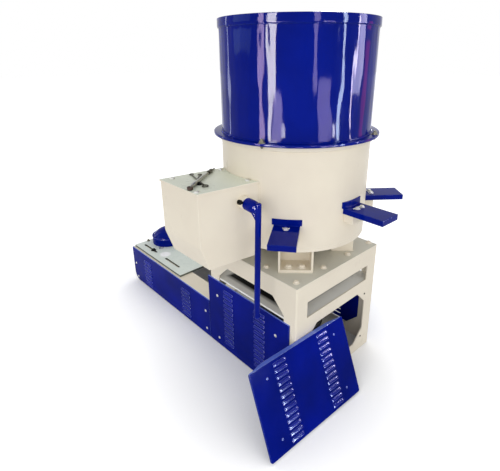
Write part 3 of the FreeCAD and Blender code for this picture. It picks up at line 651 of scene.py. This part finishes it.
front_face = stand_low[1] - COVER_FOLD
side_covers = (("stand", STAND_LOUVRES), ("motor_frame", FRAME_LOUVRES))
for name, pattern in side_covers:
    hoods = moved(louvre_set(pattern), Matrix.Translation((0, front_face, 0)))
    piece(name + "_front_louvres", hoods, PRESSED_BLUE, sharp=60)
    mirrored = (hoods[0] * np.array([1, -1, 1]), hoods[1])
    piece(name + "_back_louvres", mirrored, PRESSED_BLUE, sharp=60)

# The leaning cover's place is read from its own node: turned back, its outer hoods touch y = 0
turn = Matrix.Rotation(math.radians(END_COVER_TURN), 3, "Z") @ \
    Matrix.Rotation(math.radians(-END_COVER_LEAN), 3, "Y") @ Matrix.Rotation(math.radians(90), 3, "Z")
turned_back = node_points("leaning_end_cover") @ np.array(turn)
cover_low = turned_back.min(0)
cover_high = turned_back.max(0)
cover_origin = np.array([(cover_low[0] + cover_high[0]) / 2, cover_low[1] + LOUVRE_OUT, cover_low[2]])
cover_matrix = np.eye(4)
cover_matrix[:3, :3] = np.array(turn)
cover_matrix[:3, 3] = np.array(turn) @ cover_origin
piece("leaning_cover_louvres", moved(louvre_set(END_LOUVRES), cover_matrix), PRESSED_BLUE,
      sharp=60)


def folded_cover(wide, tall, corner, sheet, shallow, deep):
    """Sheet with its edges folded back. A rounded rectangle of points runs round the face. The fold behind
    it is shallow along the sides and the foot. Along the top it deepens smoothly over 90 mm from each
    corner to the full depth that touches the stand."""
    side_steps = np.linspace(0, 1, 24)
    outline = []
    for turn_deg, (cx, cz) in ((0, (1, 1)), (90, (-1, 1)), (180, (-1, 0)), (270, (1, 0))):
        centre = np.array([cx * (wide / 2 - corner), corner + cz * (tall - 2 * corner)])
        angle = np.radians(turn_deg + np.linspace(0, 90, 5))
        outline.append(centre + corner * np.stack([np.cos(angle), np.sin(angle)], -1))
    corners = np.concatenate(outline)
    ring = []
    for start, end in zip(corners, np.roll(corners, -1, 0)):
        steps = side_steps[:-1] if np.linalg.norm(end - start) > 50 else np.array([0.0])
        ring.append(start + (end - start) * steps[:, None])
    ring = np.concatenate(ring)
    share = np.clip((wide / 2 - corner - np.abs(ring[:, 0])) / 90, 0, 1) * (ring[:, 1] > tall - 0.01)
    depth = shallow + (deep - shallow) * share * share * (3 - 2 * share)
    middle = np.array([0.0, tall / 2])

    def row(inset, back):
        scale = 1 - inset / (np.array([wide, tall]) / 2)
        spot = middle + (ring - middle) * scale
        return np.stack([spot[:, 0], np.broadcast_to(back, len(ring)), spot[:, 1]], -1)

    whole = np.array([wide, tall]) / 2
    rows = [row(whole, 0.0), row(3.0, 0.0), row(1.6, 0.0), row(0.5, 0.5), row(0.0, 1.6), row(0.0, 3.0),
            row(0.0, depth), row(sheet, depth), row(sheet, sheet), row(whole, sheet)]
    return np.concatenate(rows), grid_faces(len(rows), len(ring), True)


# The cover's folds look much shallower than the ones that carry it against the stand
COVER_SHEET = 2.0
COVER_SHALLOW = 8.0
COVER_CORNER = 9.0
cover_size = cover_high - cover_low
cover = folded_cover(cover_size[0], cover_size[2], COVER_CORNER, COVER_SHEET, COVER_SHALLOW,
                     cover_size[1] - LOUVRE_OUT)
made = piece("leaning_cover_sheet", moved(cover, cover_matrix), SHEET_BLUE, sharp=30)
# Its upward faces are painted pale blue as a painted highlight
second_coat(made, HIGHLIGHT_BLUE, facing_up(made) > 0.75)
flatten(made)
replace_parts(made, "leaning_end_cover")


# Bolts, washers and screws

HEX_BOLT = turned([(0, 0), (1.35, 0), (1.35, 0.14), (1.25, 0.2), (1.0, 0.2), (1.0, 0.22, 1), (1.0, 0.7, 1),
                   (0.94, 0.8, 0.7), (0.8, 0.84), (0, 0.84)], 24)
HEX_NUT = turned([(0, 0), (1.4, 0), (1.4, 0.15), (1.0, 0.15), (1.0, 0.2, 1), (1.0, 0.85, 1),
                  (0.85, 0.95), (0.58, 0.95), (0.55, 1.5), (0.45, 1.6), (0, 1.6)], 24)
PAN_SCREW = turned([(0, 0), (1.45, 0), (1.45, 0.15), (1.0, 0.17), (0.98, 0.35), (0.8, 0.6),
                    (0.45, 0.74), (0, 0.78)], 16)
BUTTON_BOLT = turned([(0, 0), (1.0, 0), (0.98, 0.15), (0.8, 0.4), (0.5, 0.52), (0.4, 0.53, 1),
                      (0.38, 0.25, 1), (0, 0.25)], 24)
SOCKET_SCREW = turned([(0, -1.6), (0.55, -1.6), (0.55, 0), (1, 0), (1, 1.1), (0.92, 1.2), (0.56, 1.2, 1),
                       (0.54, 0.6, 1), (0, 0.6)], 24)
THREAD_HOLE = turned([(0, 0.15), (0.72, 0.15), (0.78, 0.4), (1.0, 0.35), (1.0, -0.3), (0, -0.3)], 16)

# Cover screws, from the photograph, with the same on the far side
cover_screws = [(-256, 336), (-254, 54), (198, 330), (200, 54)]
cover_screws += [(-1250, 142), (-1238, 34), (-380, 172), (-376, 52)]
spots = []
for sign in (-1, 1):
    spots += [facing((x, sign * -front_face, z), (0, sign, 0), 5.6) for x, z in cover_screws]
painted = []
HOLE_U = 214.0
HOLE_LOW = 62.0
HOLE_HIGH = 333.0
for u in (-HOLE_U, HOLE_U):
    for v in (HOLE_LOW, HOLE_HIGH):
        painted.append(cover_matrix @ facing((u, 0, v), (0, -1, 0), 3.6))
piece("cover_screws", repeated(PAN_SCREW, spots), ZINC)
# The leaning cover's screws are painted pale blue as a painted highlight
piece("leaning_cover_screws", repeated(PAN_SCREW, painted), HIGHLIGHT_BLUE)

# Bolts round the stand's top plate, at even steps along the end and from it along both sides
TOP_BOLT_INSET = 42.0
TOP_BOLT_STEPS = (-84.0, 110.0)
top_half = stand_high[0] - TOP_BOLT_INSET
plan = [(top_half, -top_half), (top_half, 300.0), (-top_half, top_half), (-top_half, -300.0)]
for step in TOP_BOLT_STEPS:
    plan += [(top_half, step), (-step, -top_half), (-top_half, -step), (step, top_half)]
spots = [facing((x, y, STAND_TOP), UP, 12.0, 0.3 + 0.01 * x) for x, y in plan]
piece("stand_top_bolts", repeated(HEX_BOLT, spots), CREAM)

# Two bolts in every foot, and their painted heads
FOOT_BOLT_R = 274.0
FOOT_BOLT_TURN = 6.6
foot_low = node_box("front_outer_foot")[0]
spots = []
for corner in FOOT_CORNERS:
    for sign in (-1, 1):
        degrees = corner + sign * FOOT_BOLT_TURN
        spot = ways(degrees)[0] * FOOT_BOLT_R + np.array([0, 0, foot_low[2] + FOOT_BASE])
        spots.append(facing(spot, UP, 15.0, math.radians(degrees)))
piece("foot_bolts", repeated(HEX_BOLT, spots), CREAM)

# Four studs through the hopper's flange and the drum's ring, with nuts on both ends
FLANGE_BOLT_R = 378.0
FLANGE_BOLT_FIRST = -69.0
top_spots = []
nut_spots = []
for quarter in range(4):
    angle = math.radians(FLANGE_BOLT_FIRST + 90.0 * quarter)
    spot = (FLANGE_BOLT_R * math.cos(angle), FLANGE_BOLT_R * math.sin(angle))
    top_spots.append(facing((*spot, flange_high[2]), UP, 11.0, angle))
    nut_spots.append(facing((*spot, flange_low[2]), (0, 0, -1), 7.0, angle))
piece("flange_nuts", repeated(HEX_NUT, top_spots), DULL_ZINC)
piece("flange_lower_nuts", repeated(HEX_NUT, nut_spots), OILED)

# Button bolts near the corners of the lid
LID_BOLTS = ((128.0, -608.0), (-104.0, -608.0), (112.0, -356.0), (-100.0, -366.0))
spots = []
for side, out in LID_BOLTS:
    x, y = box_plan(side, -out)
    spots.append(facing((x, y, LID_TOP), UP, 12.5))
piece("lid_bolts", repeated(BUTTON_BOLT, spots), ZINC)

# Tray bolts: one or two near the drum on every knife tray, each between a pair of clamp ears
TRAY_TURNS = [-52.5 + 360.0 / 7.0 * i for i in range(6)]
spots = []
ears = []
for number, degrees in enumerate(TRAY_TURNS, 1):
    plate_z = node_box("knife_tray_%d" % number)[1][2] - TRAY_BACK_H
    out, across = ways(degrees)
    for side in ((0.0,) if number == 1 else (-TRAY_BOLT_SIDE, TRAY_BOLT_SIDE)):
        spot = out * (DRUM_R + TRAY_BOLT_OUT) + across * side + np.array([0, 0, plate_z])
        spots.append(facing(spot, UP, 9.5, math.radians(degrees)))
        ears.append(tube(line_path(spot + across * 15 - out * 12, spot - out * 3, 6), 3.2, 8))
        ears.append(tube(line_path(spot - across * 15 - out * 12, spot - out * 3, 6), 3.2, 8))
piece("tray_bolts", repeated(HEX_BOLT, spots), ZINC)
piece("tray_clamp_ears", joined(ears), ZINC)

# Clamp bolts in the slide plate's slots, each on a broad washer
SLOT_Y = 254.0
CLAMP_BOLTS = ((-1106.0, -SLOT_Y), (-1100.0, SLOT_Y))
spots = [facing((x, y, SLIDE_TOP), UP, 13.0, 0.4) for x, y in CLAMP_BOLTS]
piece("slide_clamp_bolts", repeated(HEX_BOLT, spots), BLACK)
# A loose washer and a nut left lying on the plate
LOOSE_WASHER = turned([(0.5, 0), (1, 0), (1, 0.16), (0.5, 0.16), (0.5, 0)], 24)
LOOSE_WASHER_AT = (-1096.0, -199.0, SLIDE_TOP)
LOOSE_NUT_AT = (-1270.0, -205.0, SLIDE_TOP)
piece("slide_loose_washer", repeated(LOOSE_WASHER, [facing(LOOSE_WASHER_AT, UP, 17.0)]), ZINC)
piece("slide_loose_nut", repeated(HEX_NUT, [facing(LOOSE_NUT_AT, UP, 9.0, 0.2)]), DULL_ZINC)

# Threaded holes for the end cover, left open while the cover stands on the floor
END_HOLES = ((-212, 352), (236, 366), (234, 88), (-212, 88))
spots = [facing((stand_high[0], y, z), (1, 0, 0), 5.0) for y, z in END_HOLES]
spots += [facing((stand_low[0], y, z), (-1, 0, 0), 5.0) for y, z in END_HOLES[:2]]
piece("end_cover_holes", repeated(THREAD_HOLE, spots), BLACK)

# Set screw that stands out of the lever's hub, just beside the boss
out_way = np.array([-math.sin(BOX_YAW), -math.cos(BOX_YAW), 0])
side_way = np.array([math.cos(BOX_YAW), -math.sin(BOX_YAW), 0])


def by_shaft(side, out=0.0, up=0.0):
    return side_way * side + out_way * (PIVOT_OUT + out) + np.array([0, 0, PIVOT_Z + up])


SCREW_RISE = math.radians(22)       # the set screw points up by this much
screw_way = out_way * math.cos(SCREW_RISE) + np.array([0, 0, math.sin(SCREW_RISE)])
screw_at = by_shaft(HUB_START + 17) + screw_way * (HUB_R + 10)
piece("lever_set_screw", repeated(SOCKET_SCREW, [facing(screw_at, screw_way, 10.5)]), BLACK,
      body="gate")

# Lever: a hub whose far end is rounded into the bar, the bar itself and the weld web between them
BAR_R = 13.0
BAR_SIDE = HUB_END - BAR_R - 0.5
HUB_SEEN = 179.0            # the hub starts here, past a collar on the box's boss
COLLAR_R = 29.5
HUB_PROFILE = [(0, 0), (HUB_R - 2, 0), (HUB_R, 2), (HUB_R, 46), (HUB_R - 1.5, 56), (HUB_R - 5, 66),
               (HUB_R - 10, 75), (HUB_R - 16, 82), (HUB_R - 21, 85), (0, 87)]
hub = repeated(turned(HUB_PROFILE, 40), [facing(by_shaft(HUB_SEEN), side_way)])
COLLAR_PROFILE = [(0, 0), (COLLAR_R, 0), (COLLAR_R, 24), (COLLAR_R - 3, 27), (0, 27)]
collar = repeated(turned(COLLAR_PROFILE, 40), [facing(by_shaft(HUB_SEEN - 28), side_way)])
piece("gate_boss_collar", collar, CREAM)
lever_points = node_points("gate_lever")
lever_foot = lever_points[:, 2].min()
bar_end = lever_points[lever_points[:, 2] < lever_foot + 3].mean(0) + side_way * (BAR_SIDE - LEVER_SIDE)
bar_top = by_shaft(BAR_SIDE)
bar_way = (bar_end - bar_top) / np.linalg.norm(bar_end - bar_top)
bar_start = bar_top - bar_way * (HUB_R - 1)
bar_stops = np.concatenate([[bar_start + bar_way * step for step in (0.0, 1.0, 3.0)],
                            line_path(bar_start + bar_way * 6, bar_end - bar_way * 2, 60), [bar_end]])
bar_radii = np.full(len(bar_stops), BAR_R)
bar_radii[:3] = BAR_R - 3.0, BAR_R - 1.3, BAR_R - 0.2
bar_radii[-1] = BAR_R - 2
bar = tube(bar_stops, bar_radii, 24)
t = np.linspace(0, 1, 14)
web = np.stack([by_shaft(BAR_SIDE - 4 - 40 * (1 - s) ** 2, 0, -HUB_R + 12 - 50 * s) for s in t])
lever = joined([hub, bar, tube(web, 12.5 - 4 * t, 16)])
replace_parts(piece("lever_bar_and_hub", lever, BLUE, body="gate"), "gate_lever")


# Welds
welds = []
WELD_GAP = 1.5              # the middle of a bead stands this far off its plate
for corner in FOOT_CORNERS:
    out, across = ways(corner)
    for sign in (-1, 1):
        beside = across * sign * (FOOT_HALF + 1) + np.array([0, 0, floor_low[2] - WELD_GAP])
        welds.append(bead(line_path(out * (FOOT_OUT - 101) + beside, out * (FOOT_OUT - 3) + beside), 2.6))
    toe = out * (FOOT_OUT + 1) + np.array([0, 0, STAND_TOP + WELD_GAP])
    half_toe = across * (FOOT_HALF - 1.5)
    welds.append(bead(line_path(toe - half_toe, toe + half_toe), 2.4))
# upright seams between the discharge box and the drum
BOX_SIDES = (148.5, -126.5)
SEAM_LOW = 790.0
SEAM_HIGH = 1074.0
for side in BOX_SIDES:
    x, y = box_plan(side, math.sqrt(DRUM_R ** 2 - side ** 2) + WELD_GAP)
    welds.append(bead(line_path((x, y, SEAM_LOW), (x, y, SEAM_HIGH)), 3.0))
# the drum's ring against its wall
welds.append(bead(circle_path(DRUM_R + 1, drum_high[2] - 21, step=3.5), 2.6, closed=True))
piece("cream_welds", joined(welds), CREAM, sharp=180)

blue_welds = [bead(circle_path(HOPPER_R + 1, flange_high[2] + WELD_GAP, step=3.5), 3.4, closed=True)]
blue_welds.append(bead(circle_path(HOPPER_R + 0.6, band_low - 1, step=3.5), 1.8, closed=True))
for number, degrees in enumerate(TRAY_TURNS, 1):
    strip_z = node_box("knife_tray_%d" % number)[1][2] - TRAY_BACK_H + 1
    half = math.degrees(TRAY_HALF / (DRUM_R + 5))
    blue_welds.append(bead(circle_path(DRUM_R + 6, strip_z, degrees - half, degrees + half), 2.2))
piece("blue_welds", joined(blue_welds), BLUE, sharp=180)

# Tools left lying on the lid: a socket wrench with a bored head, and a forked eye bolt under it
HEAD_AT = np.array([-1.0, -619.0])
TUBE_END = np.array([-155.0, -397.0])
TIP_END = np.array([-172.0, -370.0])
WRENCH_Z = LID_TOP + 10.0
wrench_line = np.concatenate([line_path((*HEAD_AT, WRENCH_Z), (*TUBE_END, WRENCH_Z - 2), 8),
                              line_path((*TUBE_END, WRENCH_Z - 2), (*TIP_END, WRENCH_Z - 5), 8)[1:]])
run = np.linalg.norm(wrench_line - wrench_line[0], axis=1)
wrench_radii = np.interp(run, [0, 30, 33, 60, 63, 212, 214, 262, 266, 300],
                         [7, 7, 10, 10, 7.5, 6.5, 9, 9, 3.5, 3.5])
grip = run > 213
wrench = tube(wrench_line[~grip], wrench_radii[~grip], 14)
piece("lid_wrench_tube", wrench, WORN, sharp=50)
EYE_AT = np.array([7.0, -551.0, LID_TOP + 4])
JOINT_AT = np.array([-88.0, -525.0, LID_TOP + 4])
ring_turn = np.linspace(0, 2 * math.pi, 24, endpoint=False)
ring = np.stack([np.cos(ring_turn), np.sin(ring_turn), np.zeros(24)], -1)
shank = line_path(JOINT_AT, EYE_AT - np.array([14.0, -3.0, 0]), 5)
prongs = [np.array([-166.0, -500.0, LID_TOP + 4.0]), np.array([-136.0, -476.0, LID_TOP + 4.0])]
tools = [tube(wrench_line[grip], wrench_radii[grip], 14), tube(shank, 4.0, 10),
         tube(EYE_AT + 12 * ring, 2.6, 10, closed=True)]
for prong in prongs:
    tools.append(tube(line_path(JOINT_AT, prong, 4), 3.4, 10))
    tools.append(tube(prong + np.array([-6.0, 3.0, 0]) + 8 * ring, 2.4, 8, closed=True))
piece("lid_tools", joined(tools), OILED, sharp=50)
WRENCH_HEAD = turned([(0, 0), (11, 0), (12, 1.5), (12, 12), (11, 13.5), (8, 13.5), (7, 12), (7, 4),
                      (0, 4)], 24)
TOOL_NUT_AT = (-33.0, -553.0, LID_TOP)
piece("lid_wrench_head", repeated(WRENCH_HEAD, [facing((*HEAD_AT, LID_TOP), UP)]), RUSTY)
piece("lid_tool_nut", repeated(HEX_NUT, [facing(TOOL_NUT_AT, UP, 8.0)]), BLACK)


# Floor, light and camera
def floor_plane():
    """Flat square under the machine, 60 metres wide."""
    half = 30000.0
    points = np.array([(-half, -half, 0), (half, -half, 0), (half, half, 0), (-half, half, 0)], float)
    return points, np.array([[0, 1, 2, 3]])


def pale_floor():
    """White studio floor: a pale matt paint that keeps the shadow, lifted to white for the camera and
    reflections by a glow that fades with ambient occlusion, a painted shade under and beside the machine.
    """
    material, tree = blank("studio_floor_paint")
    where = add(tree, "ShaderNodeTexCoord").outputs["Object"]
    tone = blend(tree, noise(tree, where, 400), linear("#e4e4e4"), linear("#e8e8e8"))
    paint = add(tree, "ShaderNodeBsdfDiffuse", {"Color": tone})
    rays = add(tree, "ShaderNodeLightPath")
    seen = calc(tree, "MAXIMUM", rays.outputs["Is Camera Ray"], rays.outputs["Is Glossy Ray"])
    open_sky = add(tree, "ShaderNodeAmbientOcclusion", {"Distance": 0.9}, samples=8)
    clear = calc(tree, "POWER", open_sky.outputs["AO"], 2.0)
    lift = calc(tree, "MULTIPLY", seen, calc(tree, "MULTIPLY", clear, FLOOR_LIFT))
    glow = add(tree, "ShaderNodeEmission", {"Color": (1, 1, 1, 1), "Strength": lift})
    both = add(tree, "ShaderNodeAddShader", {0: paint.outputs[0], 1: glow.outputs[0]})
    add(tree, "ShaderNodeOutputMaterial", {"Surface": both.outputs[0]})
    return material


FLOOR_LIFT = 0.62
ROOM_LEVEL = 0.72
mesh = bpy.data.meshes.new("studio_floor")
points, faces = floor_plane()
mesh.from_pydata((points * MM).tolist(), [], faces.tolist())
mesh.materials.append(pale_floor())
floor = bpy.data.objects.new("studio_floor", mesh)
bpy.context.scene.collection.objects.link(floor)

world = bpy.data.worlds.new("pale_room")
bpy.context.scene.world = world
world.use_nodes = True
tree = world.node_tree
tree.nodes.clear()
rays = add(tree, "ShaderNodeLightPath")
seen = calc(tree, "MAXIMUM", rays.outputs["Is Camera Ray"], rays.outputs["Is Glossy Ray"])
seen = calc(tree, "MAXIMUM", seen, rays.outputs["Is Transmission Ray"])
room = add(tree, "ShaderNodeBackground", {"Color": linear("#fbfcff"), "Strength": ROOM_LEVEL})
white = add(tree, "ShaderNodeBackground", {"Color": (1, 1, 1, 1), "Strength": 1.0})
mixed = add(tree, "ShaderNodeMixShader", {0: seen, 1: room.outputs[0], 2: white.outputs[0]})
add(tree, "ShaderNodeOutputWorld", {"Surface": mixed.outputs[0]})


def softbox(name, turn, distance, height, width, tall, level, colour):
    """Upright strip lamp that looks at the drum from the given direction, in degrees from +X."""
    lamp = bpy.data.lights.new(name, "AREA")
    lamp.shape = "RECTANGLE"
    lamp.size = width
    lamp.size_y = tall
    lamp.energy = level * math.pi * width * tall
    lamp.color = linear(colour)[:3]
    made = bpy.data.objects.new(name, lamp)
    bpy.context.scene.collection.objects.link(made)
    angle = math.radians(turn)
    spot = Vector((DRUM_AXIS[0] + distance * math.cos(angle), DRUM_AXIS[1] + distance * math.sin(angle),
                   height))
    made.location = spot
    aim = Vector((DRUM_AXIS[0], DRUM_AXIS[1], 0.9)) - spot
    aim.z = 0.25 * aim.z
    made.rotation_euler = aim.to_track_quat("-Z", "Y").to_euler()
    return made


# Narrow windows that show as streaks in the rolled sheet. They are only there for reflections in the
# blue pieces, so that the paint keeps its plain level of light and the bright metals don't burn out.
STREAKS = (
    ("left_window", -81.5, 4.0, 2.5, 0.86, 3.0, 62.0, "#fffaf6"),
    ("left_window_foot", -83.0, 4.0, 0.5, 0.40, 1.0, 62.0, "#fffaf6"),
    ("left_curtain", -72.5, 4.0, 0.55, 0.80, 1.1, 26.0, "#d9c9ee"),
    ("left_sill", -63.5, 4.0, 0.35, 0.44, 0.7, 48.0, "#f4f0fa"),
    ("left_frame", -96.0, 4.0, 2.0, 0.50, 3.9, 34.0, "#e6c8ea"),
    ("left_grey_wall", -128.0, 5.0, 2.6, 2.6, 2.0, 2.2, "#a4c4c4"),
    ("low_middle", -43.0, 4.0, 0.2, 0.50, 0.4, 26.0, "#e6ccee"),
    ("high_strip", -24.0, 4.2, 2.6, 0.54, 3.0, 20.0, "#dccaf2"),
    ("low_strip", -9.0, 4.2, 0.62, 1.15, 1.3, 19.0, "#d2c2f0"),
    ("low_strip_left", -12.0, 3.9, 0.2, 0.26, 0.4, 56.0, "#f2f2ff"),
    ("low_strip_right", 3.5, 3.9, 0.36, 0.50, 0.72, 56.0, "#f6f4ff"),
    ("right_window", 13.0, 4.0, 1.95, 0.40, 3.9, 54.0, "#d4e6ff"),
    ("right_pale_strip", 43.0, 4.4, 2.5, 1.0, 2.9, 20.0, "#d2cdf0"),
    ("right_bright_strip", 36.0, 4.0, 1.5, 0.20, 1.7, 46.0, "#f2e8ff"),
    ("right_red_glow", 60.0, 4.2, 0.9, 0.8, 1.7, 5.0, "#981440"),
    ("left_far_window", -160.0, 4.4, 2.0, 0.24, 3.4, 5.0, "#dfe6ff"),
    ("rear_window", 125.0, 4.2, 2.0, 0.5, 3.2, 30.0, "#ffffff"),
)
STREAK_GAIN = 2.3
blue_pieces = bpy.data.collections.new("blue_pieces")
for made in bpy.context.scene.objects:
    if made.type == "MESH" and made.data.materials and made.data.materials[0] in BLUE_COATS:
        blue_pieces.objects.link(made)
for name, turn_deg, distance, height, width, tall, level, colour in STREAKS:
    made = softbox(name, turn_deg, distance, height, width, tall, level * STREAK_GAIN, colour)
    made.visible_diffuse = False
    made.light_linking.receiver_collection = blue_pieces
# Broad soft fills for the paint, kept out of reflections
FILLS = (
    ("front_fill", -65.0, 5.5, 2.2, 3.2, 2.8, 2.9, "#ffffff"),
    ("end_fill", -8.0, 5.5, 2.2, 3.2, 2.8, 1.8, "#ffffff"),
    ("rear_fill", 125.0, 5.5, 2.2, 3.2, 2.8, 2.0, "#ffffff"),
)
for fill in FILLS:
    made = softbox(*fill)
    made.visible_glossy = False

# Camera solved from the photograph's straight edges
PICTURE_W = 500.0
PICTURE_H = 471.0
FOCAL_PX = 400.3
AXIS_PX = (263.3, 199.2)        # where the lens axis meets the picture
CAMERA_AT = Vector((1.6683, -1.4084, 1.6))
LOOK = Vector((-0.6818, 0.6458, -0.3437)).normalized()
ROLL = math.radians(-0.15)
lens = bpy.data.cameras.new("photo_camera")
lens.sensor_fit = "HORIZONTAL"
lens.sensor_width = 36.0
lens.lens = FOCAL_PX * 36.0 / PICTURE_W
lens.shift_x = -(AXIS_PX[0] - PICTURE_W / 2) / PICTURE_W
lens.shift_y = -(PICTURE_H / 2 - AXIS_PX[1]) / PICTURE_W
lens.clip_end = 200.0
camera = bpy.data.objects.new("photo_camera", lens)
bpy.context.scene.collection.objects.link(camera)
right = LOOK.cross(Vector((0, 0, 1))).normalized()
up = right.cross(LOOK)
turn = Matrix((right, up, -LOOK)).transposed().to_4x4()
camera.matrix_world = Matrix.Translation(CAMERA_AT) @ turn @ Matrix.Rotation(ROLL, 4, "Z")
bpy.context.scene.camera = camera
bpy.context.scene.view_settings.view_transform = "Standard"
